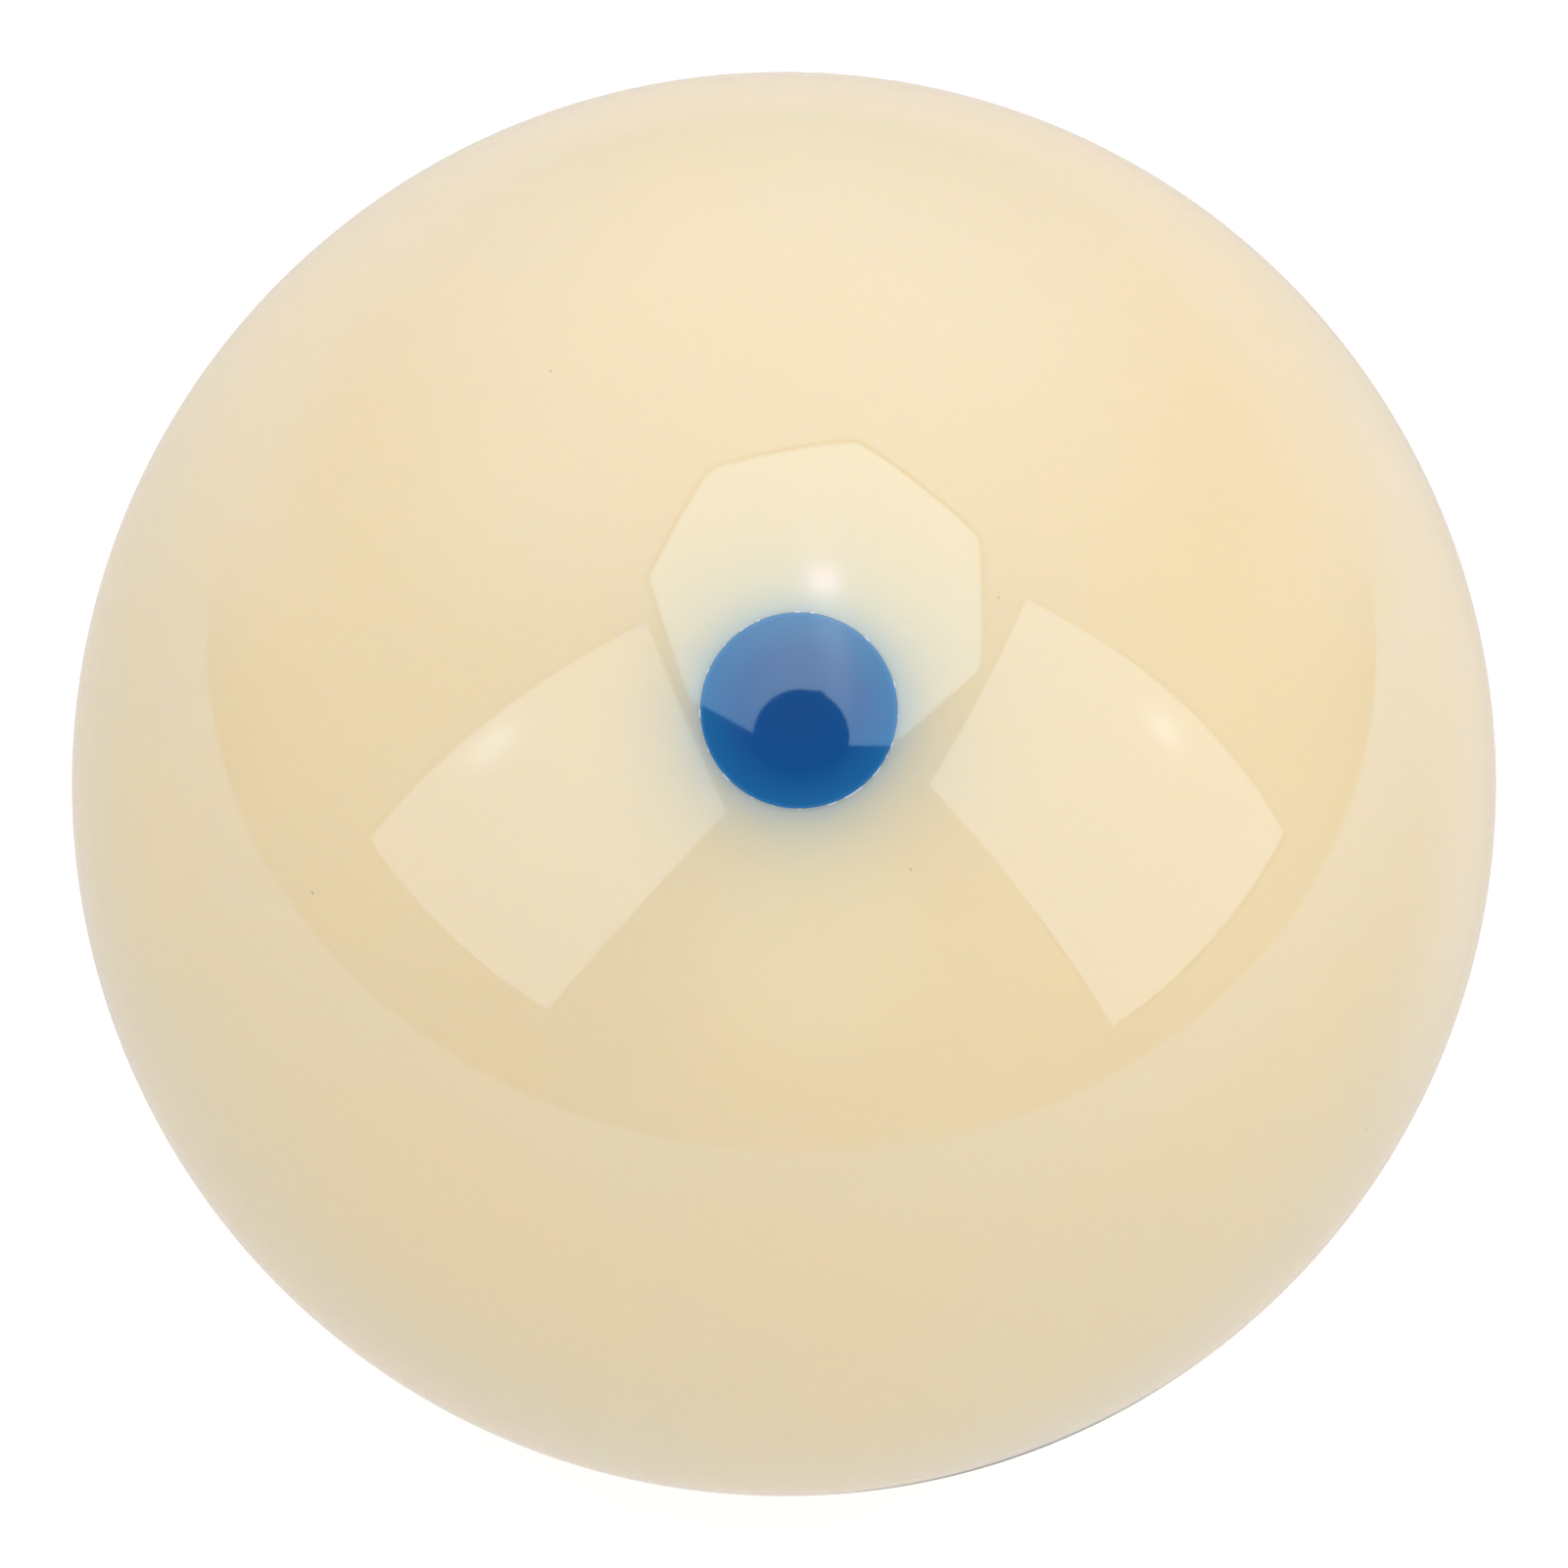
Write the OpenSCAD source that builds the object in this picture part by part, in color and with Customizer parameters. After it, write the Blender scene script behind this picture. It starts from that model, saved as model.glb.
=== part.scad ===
// Cue ball with six inlaid aiming spots.
// A solid cast resin ball is drilled with six blind bores, one on each end of the X, Y and Z
// axes. A coloured resin plug fills each bore and is ground flush with the ball's surface.
// The origin is the centre of the ball, and +Z runs up through the centre of the top spot.
// All sizes are in millimetres.

/* [Ball] */
// Diameter of the ball
ball_d = 57.15; // [48:0.05:68]

/* [Spots] */
// Diameter of each spot, which is also the diameter of its bore
spot_d = 6.75; // [4:0.05:10]
// Depth of the full-width bore, measured from the top of the ball's surface
bore_depth = 8; // [4:0.5:14]
// Included angle of the drilled point at the bottom of each bore
point_angle = 118; // [90:1:140]

/* [Colours] */
// Colour of the ball's cast body
body_colour = "cornsilk"; // [cornsilk, ivory, white, gold]
// Colour of the spot plugs
spot_colour = "royalblue"; // [royalblue, firebrick, black, seagreen]

/* [Hidden] */

$fn = 96;

ball_r = ball_d / 2;
spot_r = spot_d / 2;

// Height of the drilled point, and how far the bore's cutting shape stands proud of the ball
point_h = spot_r / tan(point_angle / 2);
cutter_proud = 1;

// Distances from the ball's centre along a bore
shoulder_z = ball_r - bore_depth;
point_z = shoulder_z - point_h;
cutter_z = ball_r + cutter_proud;

// Turns that bring a bore from the +Z axis to its own axis
to_top = [0, 0, 0];
to_bottom = [180, 0, 0];
to_front = [90, 0, 0];
to_back = [-90, 0, 0];
to_left = [0, -90, 0];
to_right = [0, 90, 0];
ALL_TURNS = [to_top, to_bottom, to_front, to_back, to_left, to_right];

// The plain round ball, before it is drilled
module blank() {
    sphere(r = ball_r);
}

// The space that one drilled bore takes, on the +Z axis, with its open end above the ball
module bore() {
    rotate_extrude()
        polygon([[0, point_z], [spot_r, shoulder_z], [spot_r, cutter_z], [0, cutter_z]]);
}

// The cast body, with one blind bore for each spot
module ball_body() {
    color(body_colour)
        difference() {
            blank();
            for (turn = ALL_TURNS)
                rotate(turn) bore();
        }
}

// One plug: it fills its bore to the drilled point, and its outer end follows the ball
module spot_plug(turn) {
    color(spot_colour)
        rotate(turn)
            intersection() {
                blank();
                bore();
            }
}

ball_body();
spot_plug(to_top);  // spot_plug_top
spot_plug(to_bottom);  // spot_plug_bottom
spot_plug(to_front);  // spot_plug_front
spot_plug(to_back);  // spot_plug_back
spot_plug(to_left);  // spot_plug_left
spot_plug(to_right);  // spot_plug_right
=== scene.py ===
# Visual model of a cue ball with six inlaid aiming spots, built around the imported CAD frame.
# Everything is in metres. The ball's centre is the origin, and the top spot's axis is +Z.
import math

import bmesh
import bpy
from mathutils import Matrix, Vector


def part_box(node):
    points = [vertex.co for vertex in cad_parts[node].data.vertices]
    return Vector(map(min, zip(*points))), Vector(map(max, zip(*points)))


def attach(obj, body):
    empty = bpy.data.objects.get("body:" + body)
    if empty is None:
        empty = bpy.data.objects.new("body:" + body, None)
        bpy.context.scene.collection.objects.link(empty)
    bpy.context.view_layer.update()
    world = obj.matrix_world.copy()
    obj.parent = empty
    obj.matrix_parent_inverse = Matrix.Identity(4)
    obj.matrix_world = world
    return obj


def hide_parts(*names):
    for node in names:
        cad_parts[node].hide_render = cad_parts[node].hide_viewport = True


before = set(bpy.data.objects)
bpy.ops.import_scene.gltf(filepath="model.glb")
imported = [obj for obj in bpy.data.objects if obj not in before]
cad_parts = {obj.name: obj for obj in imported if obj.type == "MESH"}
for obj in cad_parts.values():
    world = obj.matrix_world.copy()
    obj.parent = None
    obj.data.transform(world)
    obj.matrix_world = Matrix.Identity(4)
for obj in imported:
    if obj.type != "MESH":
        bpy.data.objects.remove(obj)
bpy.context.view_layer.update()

# ---------------------------------------------------------------- sizes, from the frame
plug_low, plug_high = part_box("spot_plug_top")
BALL_RADIUS = plug_high.z
SPOT_RADIUS = plug_high.x
BORE_TIP = plug_low.z
POINT_ANGLE = math.radians(118)
SHOULDER = BORE_TIP + SPOT_RADIUS / math.tan(POINT_ANGLE / 2)

# The seam: the ball's bore mouth and the plug's rim are each broken by a tiny round
MOUTH_ROUND = 0.000012
RIM_ROUND = 0.000009
GLUE_GAP = 0.000003

# Points closer than this are the same point
SAME_POINT = BALL_RADIUS * 1e-5

# Mesh fineness
SECTORS_PER_SIDE = 64
FIELD_RINGS = 38
FIELD_CROWDING = 1.6  # above 1, the rings crowd towards the bore
ROUND_STEPS = 4
CAP_RINGS = 14

# Which way each spot faces, and the plug that fills it
SPOT_AXES = {
    "top": Vector((0, 0, 1)),
    "bottom": Vector((0, 0, -1)),
    "front": Vector((0, -1, 0)),
    "back": Vector((0, 1, 0)),
    "left": Vector((-1, 0, 0)),
    "right": Vector((1, 0, 0)),
}

# ---------------------------------------------------------------- the camera's place
CAMERA_AZIMUTH = math.radians(-30.4)
CAMERA_ELEVATION = math.radians(84.8)
CAMERA_ROLL = math.radians(11.5)
CAMERA_DISTANCE = 6.3 * BALL_RADIUS
CAMERA_LENS = 101.73


def camera_axes():
    """The camera's right, up and towards-the-viewer directions in the ball's frame."""
    toward = Vector((
        math.sin(CAMERA_AZIMUTH) * math.cos(CAMERA_ELEVATION),
        -math.cos(CAMERA_AZIMUTH) * math.cos(CAMERA_ELEVATION),
        math.sin(CAMERA_ELEVATION),
    ))
    level_right = Vector((math.cos(CAMERA_AZIMUTH), math.sin(CAMERA_AZIMUTH), 0))
    level_up = toward.cross(level_right)
    right = level_right * math.cos(CAMERA_ROLL) + level_up * math.sin(CAMERA_ROLL)
    return right, toward.cross(right), toward


RIGHT, UP, TOWARD = camera_axes()


def studio(right, up, toward):
    """A vector given along the camera's own axes, as the studio is laid out around them."""
    return RIGHT * right + UP * up + TOWARD * toward


def turn_matrix(x_axis, y_axis, z_axis):
    """The rotation whose columns are these three axes."""
    return Matrix((x_axis, y_axis, z_axis)).transposed().to_4x4()


def make_camera():
    data = bpy.data.cameras.new("camera")
    data.lens = CAMERA_LENS
    data.clip_start = 0.01
    data.clip_end = 20
    camera = bpy.data.objects.new("camera", data)
    camera.matrix_world = Matrix.Translation(TOWARD * CAMERA_DISTANCE) @ turn_matrix(RIGHT, UP, TOWARD)
    bpy.context.scene.collection.objects.link(camera)
    bpy.context.scene.camera = camera


# ---------------------------------------------------------------- mesh helpers
def axis_turn(axis):
    """The rotation that carries +Z onto axis."""
    return Vector((0, 0, 1)).rotation_difference(axis).to_matrix()


def link_mesh(name, bm):
    """Makes the finished bmesh an object in the scene."""
    mesh = bpy.data.meshes.new(name)
    bm.to_mesh(mesh)
    bm.free()
    piece = bpy.data.objects.new(name, mesh)
    bpy.context.scene.collection.objects.link(piece)
    return piece


def ring_points(bm, turn, sector_angles, radius, height):
    """One ring of vertices about the turned Z axis."""
    return [
        bm.verts.new(turn @ Vector((radius * math.cos(a), radius * math.sin(a), height)))
        for a in sector_angles
    ]


def bridge(bm, inner, outer):
    """Quads between two rings with the same number of vertices."""
    count = len(inner)
    for i in range(count):
        j = (i + 1) % count
        bm.faces.new((inner[i], outer[i], outer[j], inner[j]))


def close_with_point(bm, point, ring, outward=True):
    """Triangles from one vertex to a ring."""
    count = len(ring)
    for i in range(count):
        j = (i + 1) % count
        corners = (point, ring[i], ring[j]) if outward else (point, ring[j], ring[i])
        bm.faces.new(corners)


def rounded_corner(wall_radius, round_radius, side):
    """Points of the small round between the ball's surface and a wall at wall_radius.

    side is +1 for the ball, which lies outside the wall, and -1 for the plug, inside it.
    The points run from the surface to the wall.
    """
    centre_radius = wall_radius + side * round_radius
    reach = BALL_RADIUS - round_radius
    centre_height = math.sqrt(reach ** 2 - centre_radius ** 2)
    start = math.atan2(centre_height, centre_radius)
    end = math.pi if side > 0 else 0.0
    points = []
    for step in range(ROUND_STEPS + 1):
        a = start + (end - start) * step / ROUND_STEPS
        points.append((
            centre_radius + round_radius * math.cos(a),
            centre_height + round_radius * math.sin(a),
        ))
    return points


# ---------------------------------------------------------------- the ball
def cube_edge_points(per_side):
    """Points round the edge of a cube's top face, evenly spaced in angle along each side.

    Each is an angle about Z and the polar angle of that point as seen from the centre.
    """
    found = []
    for side in range(4):
        for step in range(per_side):
            along = math.tan(math.radians(-45 + 90 * step / per_side))
            azimuth = math.atan2(along, 1) + side * math.pi / 2
            polar = math.atan(math.hypot(1, along))
            found.append((azimuth, polar))
    return found


def add_ball_face(bm, turn):
    """A sixth of the ball's surface, with the drilled bore in its middle."""
    edge = cube_edge_points(SECTORS_PER_SIDE)
    angles = [azimuth for azimuth, _ in edge]

    mouth = rounded_corner(SPOT_RADIUS, MOUTH_ROUND, 1)
    first_polar = math.atan2(mouth[0][0], mouth[0][1])
    rings = []
    for step in range(FIELD_RINGS, 0, -1):
        share = (step / FIELD_RINGS) ** FIELD_CROWDING
        ring = []
        for azimuth, last_polar in edge:
            polar = first_polar + (last_polar - first_polar) * share
            ring.append(bm.verts.new(turn @ Vector((
                BALL_RADIUS * math.sin(polar) * math.cos(azimuth),
                BALL_RADIUS * math.sin(polar) * math.sin(azimuth),
                BALL_RADIUS * math.cos(polar),
            ))))
        rings.append(ring)
    for radius, height in mouth:
        rings.append(ring_points(bm, turn, angles, radius, height))
    rings.append(ring_points(bm, turn, angles, SPOT_RADIUS, SHOULDER))

    for outer, inner in zip(rings, rings[1:]):
        bridge(bm, inner, outer)
    tip = bm.verts.new(turn @ Vector((0, 0, BORE_TIP)))
    close_with_point(bm, tip, rings[-1])


def make_ball():
    bm = bmesh.new()
    for axis in SPOT_AXES.values():
        add_ball_face(bm, axis_turn(axis))
    bmesh.ops.remove_doubles(bm, verts=bm.verts, dist=SAME_POINT)
    return link_mesh("cue_ball", bm)


# ---------------------------------------------------------------- the plugs
def make_plug(where, axis):
    bm = bmesh.new()
    turn = axis_turn(axis)
    sectors = 4 * SECTORS_PER_SIDE
    angles = [2 * math.pi * i / sectors for i in range(sectors)]
    wall_radius = SPOT_RADIUS - GLUE_GAP

    rim = rounded_corner(wall_radius, RIM_ROUND, -1)
    last_polar = math.atan2(rim[0][0], rim[0][1])
    profile = []
    for step in range(1, CAP_RINGS):
        polar = last_polar * step / CAP_RINGS
        profile.append((BALL_RADIUS * math.sin(polar), BALL_RADIUS * math.cos(polar)))
    profile += rim
    profile.append((wall_radius, SHOULDER + GLUE_GAP))

    rings = [ring_points(bm, turn, angles, radius, height) for radius, height in profile]
    crown = bm.verts.new(turn @ Vector((0, 0, BALL_RADIUS)))
    close_with_point(bm, crown, rings[0])
    for inner, outer in zip(rings, rings[1:]):
        bridge(bm, inner, outer)
    tip = bm.verts.new(turn @ Vector((0, 0, BORE_TIP + GLUE_GAP)))
    close_with_point(bm, tip, rings[-1], outward=False)
    return link_mesh("spot_" + where, bm)


def polish_normals(piece):
    """Smooth shading, with the exact normal of the sphere wherever a vertex lies on it."""
    mesh = piece.data
    mesh.polygons.foreach_set("use_smooth", [True] * len(mesh.polygons))
    on_surface = BALL_RADIUS - SAME_POINT
    normals = []
    for vertex in mesh.vertices:
        outside = vertex.co.length > on_surface
        normals.append(vertex.co.normalized() if outside else vertex.normal.copy())
    mesh.normals_split_custom_set_from_vertices(normals)


# ---------------------------------------------------------------- node helpers
def add_node(tree, kind, inputs=None, **settings):
    """Adds a node, then sets its properties and links or sets its inputs."""
    made = tree.nodes.new("ShaderNode" + kind)
    for name, value in settings.items():
        setattr(made, name, value)
    for name, value in (inputs or {}).items():
        if isinstance(value, bpy.types.NodeSocket):
            tree.links.new(value, made.inputs[name])
        else:
            made.inputs[name].default_value = value
    return made


def calc(tree, operation, *values):
    """A Math node's result."""
    made = add_node(tree, "Math", dict(enumerate(values)), operation=operation)
    return made.outputs[0]


def remap(tree, value, low, high, to_low=0.0, to_high=1.0, smooth=True):
    """value carried from low..high to to_low..to_high, held at the ends."""
    inputs = {
        "Value": value, "From Min": low, "From Max": high, "To Min": to_low, "To Max": to_high,
    }
    kind = "SMOOTHSTEP" if smooth else "LINEAR"
    return add_node(tree, "MapRange", inputs, interpolation_type=kind).outputs["Result"]


def blend(tree, factor, first, second, how="MIX"):
    """Two colours mixed by factor."""
    made = add_node(tree, "Mix", data_type="RGBA", blend_type=how)
    for index, value in ((0, factor), (6, first), (7, second)):
        if isinstance(value, bpy.types.NodeSocket):
            tree.links.new(value, made.inputs[index])
        elif index == 0:
            made.inputs[index].default_value = value
        else:
            made.inputs[index].default_value = (*value, 1)
    return made.outputs[2]


def add_glow(tree, base, glow, share):
    """base with share of the colour glow added to it."""
    inputs = {0: glow, 1: share, 2: base}
    return add_node(tree, "VectorMath", inputs, operation="MULTIPLY_ADD").outputs[0]


def new_material(name):
    material = bpy.data.materials.new(name)
    material.use_nodes = True
    material.node_tree.nodes.clear()
    return material, material.node_tree


def finish_material(tree, shader):
    add_node(tree, "OutputMaterial", {"Surface": shader.outputs[0]})


def spot_distance(tree, position):
    """Distance from the nearest of the three axes that the spots lie on."""
    folded = add_node(tree, "VectorMath", {0: position}, operation="ABSOLUTE").outputs[0]
    parts = add_node(tree, "SeparateXYZ", {0: folded}).outputs
    tallest = calc(tree, "MAXIMUM", calc(tree, "MAXIMUM", parts[0], parts[1]), parts[2])
    length = add_node(tree, "VectorMath", {0: position}, operation="LENGTH").outputs["Value"]
    squared = calc(tree, "SUBTRACT", calc(tree, "POWER", length, 2.0), calc(tree, "POWER", tallest, 2.0))
    return calc(tree, "SQRT", calc(tree, "MAXIMUM", squared, 0.0))


# ---------------------------------------------------------------- materials
RESIN_IOR = 1.53
SMOOTHEST = 0.030
ROUGHEST = 0.050
# How much the turned rings count beside the haze, and the band of their sum that the roughness follows
TURNING_SHARE = 0.5
UNEVEN_BAND = (0.55, 0.95)

CREAM = (0.83, 0.68, 0.425)
CREAM_CLOUD = (0.81, 0.68, 0.445)
CLOUD_BAND = (0.35, 0.65)
# Painted tint and shade round a plug, standing in for light that passes through the resin into the blue:
# the colour left beside the rim, and the reach
HALO_NEAR = (0.57, 0.72, 1.01)
HALO_NEAR_REACH = 0.0012
HALO_WIDE = (0.96, 1.00, 1.06)
HALO_WIDE_REACH = 0.0045
SPECK_COLOUR = (0.60, 0.46, 0.28)
SPECK_SHARE = 0.1
SPECK_EDGE = (0.05, 0.02)
# Painted glints: near-white flecks in the seams, more of them towards one side of the ball. The width is
# how far past the rim they reach.
SEAM_GLINT_COLOUR = (0.95, 0.95, 0.92)
SEAM_WIDTH = 0.00006
GRAIN_BAND = (0.57, 0.64)
GLINT_SIDE = Vector((0.46, -0.88, -0.05))
GLINT_SIDE_BAND = (0.2 * SPOT_RADIUS, 0.9 * SPOT_RADIUS)
GLINT_SIDE_MORE = 0.12
# How many features of each kind there are in a metre
CLOUD_SCALE = 70.0
SPECK_SCALE = 500.0
GRAIN_SCALE = 2500.0
HAZE_SCALE = 400.0
TURNING_SCALE = 9000.0


def halo(tree, colour, beyond_rim, tint, reach):
    """Paints a tint and shade beside each plug for light passing through the resin, fading exponentially
    away from the rim.
    """
    fade = calc(tree, "EXPONENT", calc(tree, "DIVIDE", beyond_rim, -reach))
    share = calc(tree, "MINIMUM", fade, 1.0)
    return blend(tree, share, colour, blend(tree, 1.0, colour, tint, "MULTIPLY"))


def polish(tree, position, beyond_rim):
    """Roughness of the polished resin: a faint haze, and finer rings turned round each plug."""
    haze = add_node(tree, "TexNoise", {"Vector": position, "Scale": HAZE_SCALE, "Detail": 4.0})
    rings = add_node(tree, "TexNoise", {"W": beyond_rim, "Scale": TURNING_SCALE}, noise_dimensions="1D")
    turned = calc(tree, "MULTIPLY", rings.outputs["Fac"], TURNING_SHARE)
    uneven = calc(tree, "ADD", haze.outputs["Fac"], turned)
    return remap(tree, uneven, *UNEVEN_BAND, SMOOTHEST, ROUGHEST)


def cream_resin():
    material, tree = new_material("cream_resin")
    position = add_node(tree, "TexCoord").outputs["Object"]
    beyond_rim = calc(tree, "SUBTRACT", spot_distance(tree, position), SPOT_RADIUS)

    # Faint clouds in the casting
    clouds = add_node(tree, "TexNoise", {"Vector": position, "Scale": CLOUD_SCALE, "Detail": 3.0})
    colour = blend(tree, remap(tree, clouds.outputs["Fac"], *CLOUD_BAND), CREAM, CREAM_CLOUD)

    # Painted tint and shade round each plug, standing in for light that passes through the resin into
    # the blue
    colour = halo(tree, colour, beyond_rim, HALO_NEAR, HALO_NEAR_REACH)
    colour = halo(tree, colour, beyond_rim, HALO_WIDE, HALO_WIDE_REACH)

    # Sparse tiny dark specks
    cells = add_node(tree, "TexVoronoi", {"Vector": position, "Scale": SPECK_SCALE})
    draw = add_node(tree, "SeparateColor", {0: cells.outputs["Color"]}).outputs[0]
    near = remap(tree, cells.outputs["Distance"], *SPECK_EDGE)
    speck = calc(tree, "MULTIPLY", calc(tree, "GREATER_THAN", draw, 1 - SPECK_SHARE), near)
    colour = blend(tree, speck, colour, SPECK_COLOUR)

    # Painted glints: near-white grains in the seam, more of them on one side
    grains = add_node(tree, "TexNoise", {"Vector": position, "Scale": GRAIN_SCALE, "Detail": 1.0})
    side = add_node(
        tree, "VectorMath", {0: position, 1: GLINT_SIDE}, operation="DOT_PRODUCT").outputs["Value"]
    glint_side_share = remap(tree, side, *GLINT_SIDE_BAND, 0.0, GLINT_SIDE_MORE)
    glint_share = remap(tree, calc(tree, "ADD", grains.outputs["Fac"], glint_side_share), *GRAIN_BAND)
    in_seam = remap(tree, beyond_rim, SEAM_WIDTH, SEAM_WIDTH / 2)
    colour = blend(tree, calc(tree, "MULTIPLY", glint_share, in_seam), colour, SEAM_GLINT_COLOUR)

    shader = add_node(tree, "BsdfPrincipled", {
        "Base Color": colour,
        "Roughness": polish(tree, position, beyond_rim),
        "IOR": RESIN_IOR,
        "Subsurface Weight": 0.6,
        "Subsurface Radius": (1.0, 0.7, 0.4),
        "Subsurface Scale": 0.002,
    })
    finish_material(tree, shader)
    return material


# The plug's colour from its middle to its rim, with painted light at the rim standing in for light that
# leaks in through the cream resin
PLUG_COLOURS_AND_RIM_LIGHT = (
    (0.00, (0.011, 0.069, 0.236)),
    (0.60, (0.007, 0.071, 0.254)),
    (0.86, (0.008, 0.104, 0.300)),
    (0.96, (0.009, 0.116, 0.315)),
    (1.00, (0.030, 0.175, 0.420)),
)


def blue_resin():
    material, tree = new_material("blue_resin")
    position = add_node(tree, "TexCoord").outputs["Object"]
    off_axis = spot_distance(tree, position)
    # The ramp runs from the plug's own deep blue in the middle to painted rim light at its edge
    ramp = add_node(tree, "ValToRGB", {0: calc(tree, "DIVIDE", off_axis, SPOT_RADIUS)})
    stops = ramp.color_ramp.elements
    while len(stops) < len(PLUG_COLOURS_AND_RIM_LIGHT):
        stops.new(0.5)
    for stop, (place, colour) in zip(stops, PLUG_COLOURS_AND_RIM_LIGHT):
        stop.position = place
        stop.color = (*colour, 1)

    shader = add_node(tree, "BsdfPrincipled", {
        "Base Color": ramp.outputs["Color"],
        "Roughness": polish(tree, position, off_axis),
        "IOR": RESIN_IOR,
    })
    finish_material(tree, shader)
    return material


# ---------------------------------------------------------------- the studio
# Lamps are placed and sized in units of this distance, along the camera's axes
LAMP_DISTANCE = 20 * BALL_RADIUS

# The paper floor: its flat radius and the radius of its curve, in metres, and its rings
SWEEP_FLAT = 1.5
SWEEP_CURVE = 0.5
SWEEP_FLAT_RINGS = (0.05, 0.2, 0.5, 1.0)
SWEEP_SECTORS = 96
SWEEP_CURVE_STEPS = 12
PAPER = (0.62, 0.62, 0.62)
PAPER_GLOW = 0.51

# A lamp's size with its black edge, as a share of its lit cloth's size
LAMP_EDGE = 1.03
# The octabox's cloth: its radius, where its first corner lies, and the corner that is pulled down
OCTABOX_RADIUS = 0.463
OCTABOX_START = math.radians(21.8)
LOW_CORNER = 4
LOW_CORNER_PLACE = (-0.430, -0.224)

# Soft light from each side that doesn't show in the gloss: name, where from and brightness
FILL_SPREAD = math.radians(80)
FILLS = (
    ("fill_front", studio(0.0, 0.0, 1.0), 0.67),
    ("fill_right", studio(0.9, 0.0, 0.43), 0.17),
    ("fill_top", studio(0.0, 0.7, 0.7), 0.38),
)

# The camera's dark front and its grip: how far off they are, and each round's middle and radius
CAMERA_BODY_DISTANCE = 0.8
CAMERA_ROUNDS = ((0.0357, 0.098, 0.099), (0.068, 0.173, 0.022))
CAMERA_ROUND_STEPS = 48

# The room that the ball reflects. Each band holds the two cosines, from a direction, between which a
# part of the room comes in. The room shows only in the gloss.
ROOM = (0.06, 0.06, 0.06)

# The table is everything below a tilted plane. Its edge is slightly out of focus.
TABLE_UP = studio(0.033, 0.616, 0.787)
TABLE_DIP = 0.109
EDGE_BLUR = 0.006

# A pale glow just over the table's edge, on the upper side of the view only
UPPER_BAND = (0.10, 0.45)
HORIZON = (0.54, 0.67, 0.78)
HORIZON_BAND = (0.50, -0.12)

# The table's colours: near the ball and beyond it, at the far edge and what is added to that on the
# right, a shine low on the right, behind the ball, and in the shade where the ball touches it
TABLE = (0.64, 0.72, 0.78)
TABLE_BEYOND = (0.80, 0.82, 0.92)
TABLE_FAR = (0.42, 0.77, 1.18)
FAR_BAND = (-0.45, -0.15)
TABLE_RIGHT = (0.03, 0.19, 0.38)
RIGHT_BAND = (-0.1, 0.8)
TABLE_SHINE = (0.26, 0.18, 0.20)
SHINE_MIDDLE = studio(0.68, 0.05, -0.73)
SHINE_BAND = (0.90, 1.00)
TABLE_BEHIND = (0.80, 0.74, 0.70)
BEHIND_BAND = (0.70, 0.98)
TABLE_SHADE = (0.30, 0.30, 0.30)
SHADE_MIDDLE = studio(0.079, -0.229, -0.970)
SHADE_BAND = (0.9965, 0.9995)

# Soft lights on the ceiling and the walls: where to, the cosines at which each starts and is full,
# and its glow
LOBES = (
    (studio(0.00, 0.93, 0.37), 0.45, 1.00, (0.85, 1.20, 1.80)),
    (studio(-0.72, 0.58, -0.38), 0.80, 1.00, (0.17, 0.15, 0.30)),
    (studio(0.72, 0.58, -0.38), 0.80, 1.00, (0.17, 0.15, 0.30)),
    (studio(0.92, -0.05, 0.39), 0.65, 1.00, (0.50, 0.46, 0.42)),
    (studio(-0.85, 0.20, 0.48), 0.70, 1.00, (0.34, 0.38, 0.38)),
    (studio(0.20, -0.62, 0.76), 0.75, 1.00, (0.55, 0.42, 0.34)),
    (studio(0.08, -0.43, 0.90), 0.927, 0.995, (0.25, 0.60, 0.50)),
)


def paper_material():
    material, tree = new_material("paper")
    diffuse = add_node(tree, "BsdfDiffuse", {"Color": (*PAPER, 1)})
    glow = add_node(tree, "Emission", {"Strength": PAPER_GLOW})
    finish_material(tree, add_node(tree, "AddShader", {0: diffuse.outputs[0], 1: glow.outputs[0]}))
    return material


def make_sweep():
    """The pale floor, which curves up into a wall far behind the ball on every side."""
    bm = bmesh.new()
    angles = [2 * math.pi * i / SWEEP_SECTORS for i in range(SWEEP_SECTORS)]
    level = -BALL_RADIUS
    profile = [(SWEEP_FLAT * share, level) for share in SWEEP_FLAT_RINGS]
    for step in range(1, SWEEP_CURVE_STEPS + 1):
        a = math.pi / 2 * step / SWEEP_CURVE_STEPS
        profile.append((
            SWEEP_FLAT + SWEEP_CURVE * math.sin(a),
            level + SWEEP_CURVE * (1 - math.cos(a)),
        ))
    flat = Matrix.Identity(3)
    rings = [ring_points(bm, flat, angles, radius, height) for radius, height in profile]
    middle = bm.verts.new((0, 0, level))
    close_with_point(bm, middle, rings[0])
    for inner, outer in zip(rings, rings[1:]):
        bridge(bm, inner, outer)
    sweep = link_mesh("paper_sweep", bm)
    sweep.data.polygons.foreach_set("use_smooth", [True] * len(sweep.data.polygons))
    sweep.data.materials.append(paper_material())
    sweep.visible_glossy = False


def aimed(place, aim, roll):
    """A lamp's matrix: its -Z axis points from place to aim, and roll turns it about that axis."""
    z_axis = (place - aim).normalized()
    x_axis = UP.cross(z_axis).normalized()
    y_axis = z_axis.cross(x_axis)
    turn = turn_matrix(x_axis, y_axis, z_axis) @ Matrix.Rotation(roll, 4, "Z")
    return Matrix.Translation(place * LAMP_DISTANCE) @ turn


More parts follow.
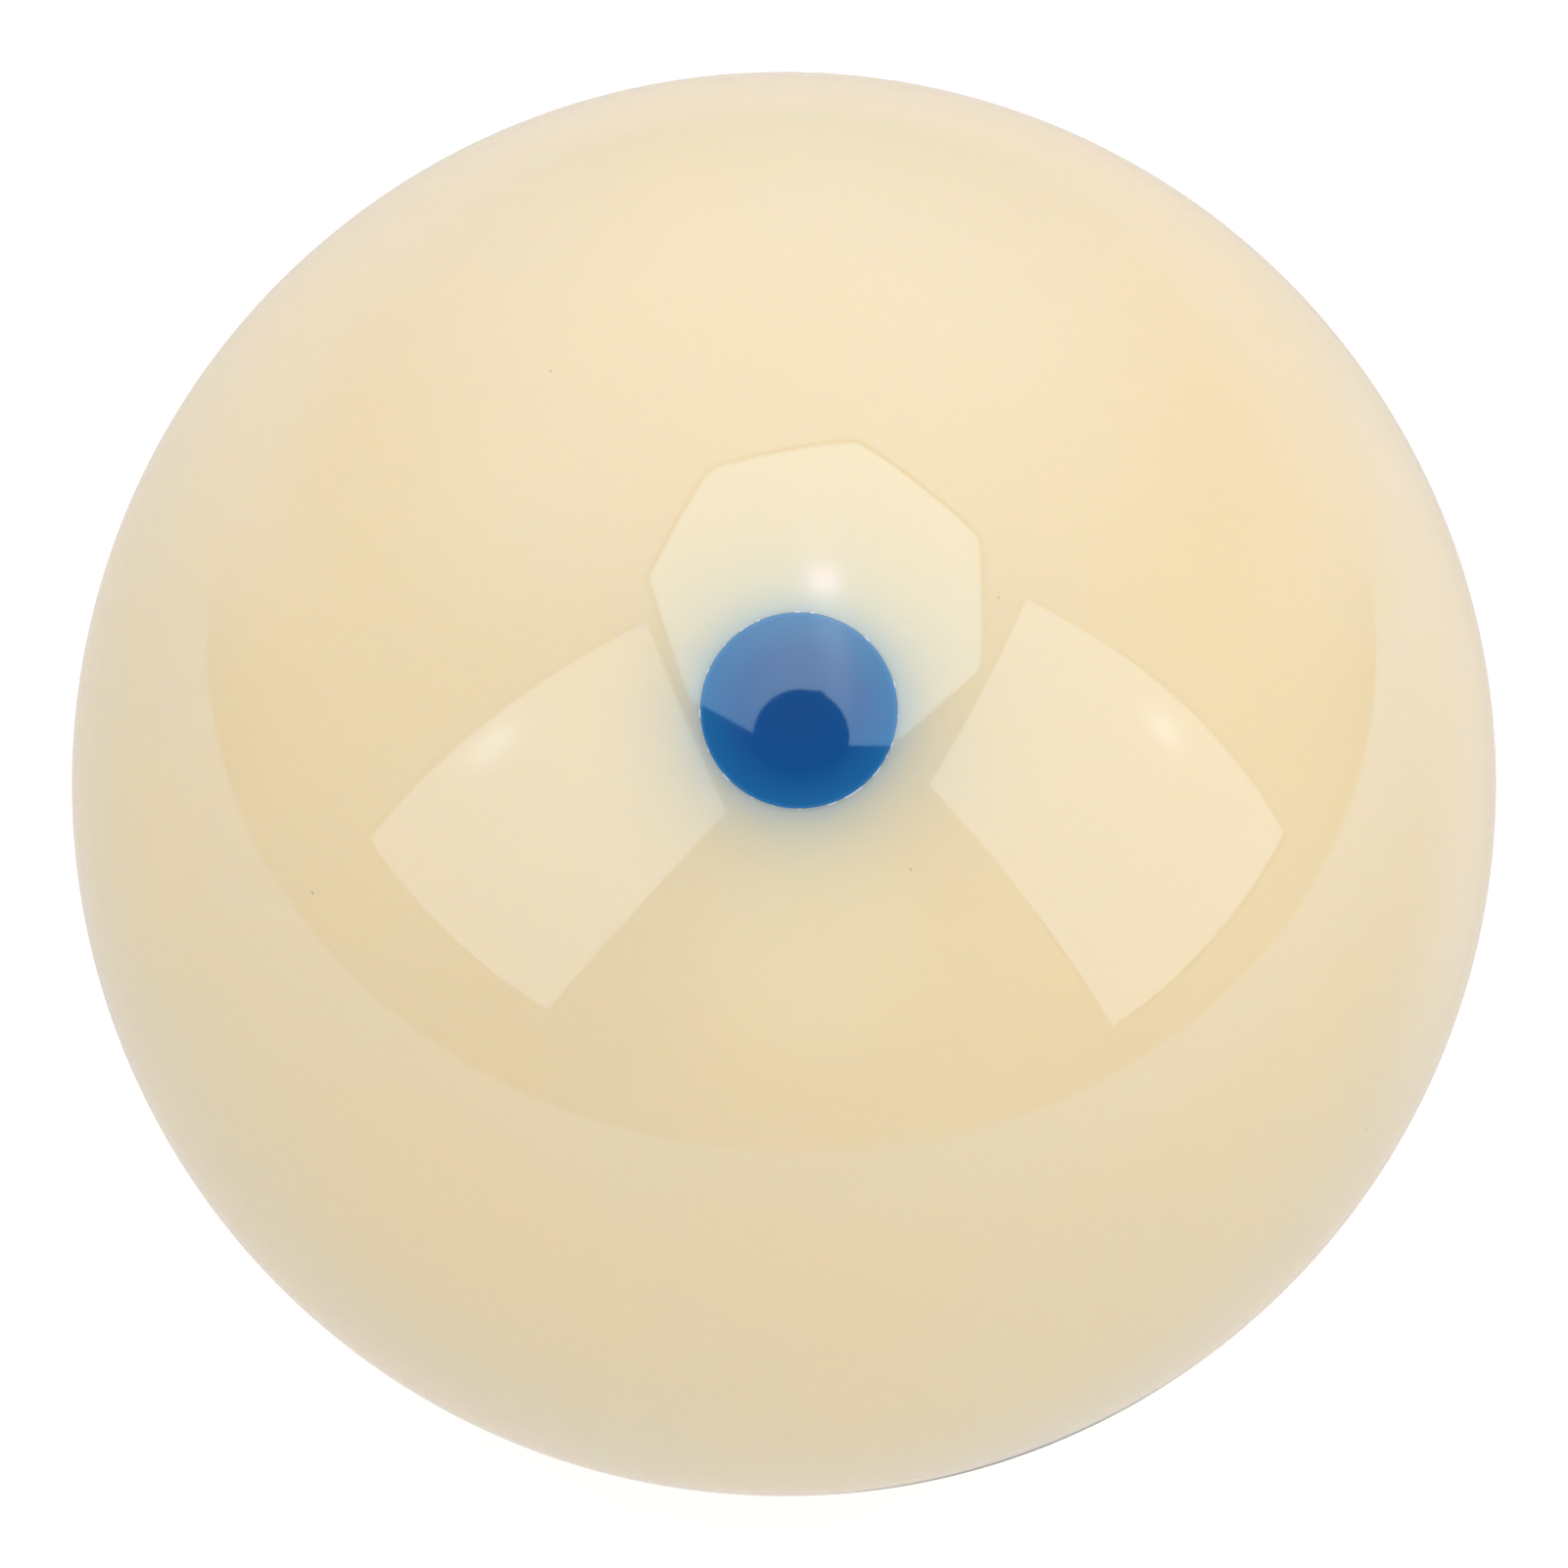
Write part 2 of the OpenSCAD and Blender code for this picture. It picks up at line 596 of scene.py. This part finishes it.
def soft_patch(tree, position, middle, size):
    """A soft oval patch, 1 at its middle, with the given half-widths across and up."""
    offset = add_node(tree, "VectorMath", {
        0: position, 1: (*(m * LAMP_DISTANCE for m in middle), 0)}, operation="SUBTRACT").outputs[0]
    scaled = add_node(tree, "VectorMath", {
        0: offset, 1: (*(1 / (s * LAMP_DISTANCE) for s in size), 0)}, operation="MULTIPLY").outputs[0]
    length = add_node(tree, "VectorMath", {0: scaled}, operation="LENGTH").outputs["Value"]
    return calc(tree, "EXPONENT", calc(tree, "MULTIPLY", calc(tree, "POWER", length, 2.0), -1.0))


def lamp_cloth(name, glow, patches):
    """A lamp's lit cloth: an even glow, with brighter patches of (middle, size, glow)."""
    material, tree = new_material(name)
    position = add_node(tree, "TexCoord").outputs["Object"]
    colour = glow
    for middle, size, extra in patches:
        colour = add_glow(tree, colour, extra, soft_patch(tree, position, middle, size))
    finish_material(tree, add_node(tree, "Emission", {"Color": colour}))
    return material


def black_cloth():
    material, tree = new_material("black_cloth")
    finish_material(tree, add_node(tree, "BsdfDiffuse", {"Color": (0.0, 0.0, 0.0, 1)}))
    return material


def stage_reflection(lamp, place, aim, roll):
    """Puts something in the studio that shows only in the gloss. The fills give the light."""
    lamp.matrix_world = aimed(place, aim, roll)
    lamp.visible_camera = False
    lamp.visible_diffuse = False
    lamp.visible_shadow = False


def make_lamp(name, place, aim, roll, corners, glow, patches):
    """A flat lamp: lit cloth inside its corners, with a narrow black edge round it."""
    bm = bmesh.new()
    inner = [bm.verts.new((x * LAMP_DISTANCE, y * LAMP_DISTANCE, 0)) for x, y in corners]
    outer = [bm.verts.new(vertex.co * LAMP_EDGE) for vertex in inner]
    bm.faces.new(inner)
    bridge(bm, inner, outer)
    lamp = link_mesh(name, bm)
    lamp.data.materials.append(lamp_cloth(name, glow, patches))
    lamp.data.materials.append(black_cloth())
    for face in lamp.data.polygons:
        face.material_index = min(face.index, 1)
    stage_reflection(lamp, place, aim, roll)


def rectangle(width, height):
    return [(x * width / 2, y * height / 2) for x, y in ((-1, -1), (1, -1), (1, 1), (-1, 1))]


def octagon(radius, start):
    angles = [start + math.pi / 4 * i for i in range(8)]
    return [(radius * math.cos(a), radius * math.sin(a)) for a in angles]


def make_camera_body():
    """The dark front of a camera and its grip, which show only in the gloss."""
    bm = bmesh.new()
    angles = [2 * math.pi * i / CAMERA_ROUND_STEPS for i in range(CAMERA_ROUND_STEPS)]
    for across, up, radius in CAMERA_ROUNDS:
        outline = [(across + radius * math.cos(a), up + radius * math.sin(a)) for a in angles]
        bm.faces.new([bm.verts.new((x * LAMP_DISTANCE, y * LAMP_DISTANCE, 0)) for x, y in outline])
    body = link_mesh("camera_body", bm)
    body.data.materials.append(black_cloth())
    stage_reflection(body, TOWARD * CAMERA_BODY_DISTANCE, Vector((0, 0, 0)), 0.0)


def make_fill(name, direction, brightness):
    """Very soft light from one side, which doesn't show in the gloss."""
    data = bpy.data.lights.new(name, "SUN")
    data.angle = FILL_SPREAD
    data.energy = brightness * math.pi
    lamp = bpy.data.objects.new(name, data)
    lamp.matrix_world = aimed(direction, Vector((0, 0, 0)), 0.0)
    lamp.visible_glossy = False
    bpy.context.scene.collection.objects.link(lamp)


def make_world():
    world = bpy.data.worlds.new("studio")
    bpy.context.scene.world = world
    world.use_nodes = True
    tree = world.node_tree
    tree.nodes.clear()
    heading = add_node(tree, "TexCoord").outputs["Generated"]

    def toward(direction):
        return add_node(
            tree, "VectorMath", {0: heading, 1: direction}, operation="DOT_PRODUCT").outputs["Value"]

    room = ROOM
    for direction, start, full, glow in LOBES:
        room = add_glow(tree, room, glow, remap(tree, toward(direction), start, full))
    height = toward(TABLE_UP)
    upper = remap(tree, toward(UP), *UPPER_BAND)
    low_glow = calc(tree, "MULTIPLY", remap(tree, height, *HORIZON_BAND), upper)
    room = add_glow(tree, room, HORIZON, low_glow)

    lower = calc(tree, "SUBTRACT", 1.0, upper)
    far_edge = calc(tree, "MULTIPLY", remap(tree, height, *FAR_BAND), lower)
    far = add_glow(tree, TABLE_FAR, TABLE_RIGHT, remap(tree, toward(RIGHT), *RIGHT_BAND))
    table = blend(tree, far_edge, blend(tree, upper, TABLE, TABLE_BEYOND), far)
    table = add_glow(tree, table, TABLE_SHINE, remap(tree, toward(SHINE_MIDDLE), *SHINE_BAND))
    table = blend(tree, remap(tree, toward(-TOWARD), *BEHIND_BAND), table, TABLE_BEHIND)
    table = blend(tree, remap(tree, toward(SHADE_MIDDLE), *SHADE_BAND), table, TABLE_SHADE)

    on_table = remap(tree, height, -TABLE_DIP + EDGE_BLUR, -TABLE_DIP - EDGE_BLUR)
    colour = blend(tree, on_table, room, table)
    background = add_node(tree, "Background", {"Color": colour})
    add_node(tree, "OutputWorld", {"Surface": background.outputs[0]})
    world.cycles_visibility.diffuse = False


def make_studio():
    octabox_corners = octagon(OCTABOX_RADIUS, OCTABOX_START)
    octabox_corners[LOW_CORNER] = LOW_CORNER_PLACE
    make_world()
    make_sweep()
    make_lamp(
        "softbox_left",
        place=studio(-0.52, -0.105, 0.85), aim=studio(0.19, -0.245, 0.355), roll=math.radians(-52),
        corners=rectangle(0.68, 0.90), glow=(1.25, 1.55, 2.00),
        patches=[
            ((0.00, 0.25), (0.50, 0.45), (0.35, 0.50, 0.50)),
            ((-0.29, -0.06), (0.035, 0.08), (1.5, 2.0, 2.5)),
        ])
    make_lamp(
        "softbox_right",
        place=studio(0.755, -0.053, 0.66), aim=studio(-0.10, -0.05, 0.165), roll=math.radians(51),
        corners=rectangle(0.665, 0.98), glow=(1.56, 1.95, 2.45),
        patches=[((0.25, -0.03), (0.035, 0.06), (1.5, 2.0, 2.5))])
    make_lamp(
        "octabox",
        place=studio(0.07, 0.436, 0.897), aim=studio(-0.14, -0.19, 0.22), roll=0.0,
        corners=octabox_corners, glow=(1.50, 2.50, 3.30),
        patches=[
            ((-0.07, -0.18), (0.26, 0.23), (1.05, 0.75, 0.25)),
            ((0.00, 0.00), (0.24, 0.14), (0.90, 0.90, 0.50)),
            ((0.04, 0.07), (0.045, 0.04), (4.2, 2.4, 4.4)),
            ((0.04, -0.05), (0.045, 0.25), (0.9, 0.9, 0.9)),
        ])
    make_camera_body()
    for name, direction, brightness in FILLS:
        make_fill(name, direction, brightness)


# ---------------------------------------------------------------- assembly
def dress(piece, material, node):
    """Smooths a finished piece's shading, gives it its material and its body, and hides the CAD node
    that it stands for.
    """
    polish_normals(piece)
    piece.data.materials.append(material)
    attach(piece, "root")
    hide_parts(node)


dress(make_ball(), cream_resin(), "ball_body")
blue = blue_resin()
for where, axis in SPOT_AXES.items():
    dress(make_plug(where, axis), blue, "spot_plug_" + where)

make_camera()
make_studio()
bpy.context.scene.view_settings.view_transform = "Standard"
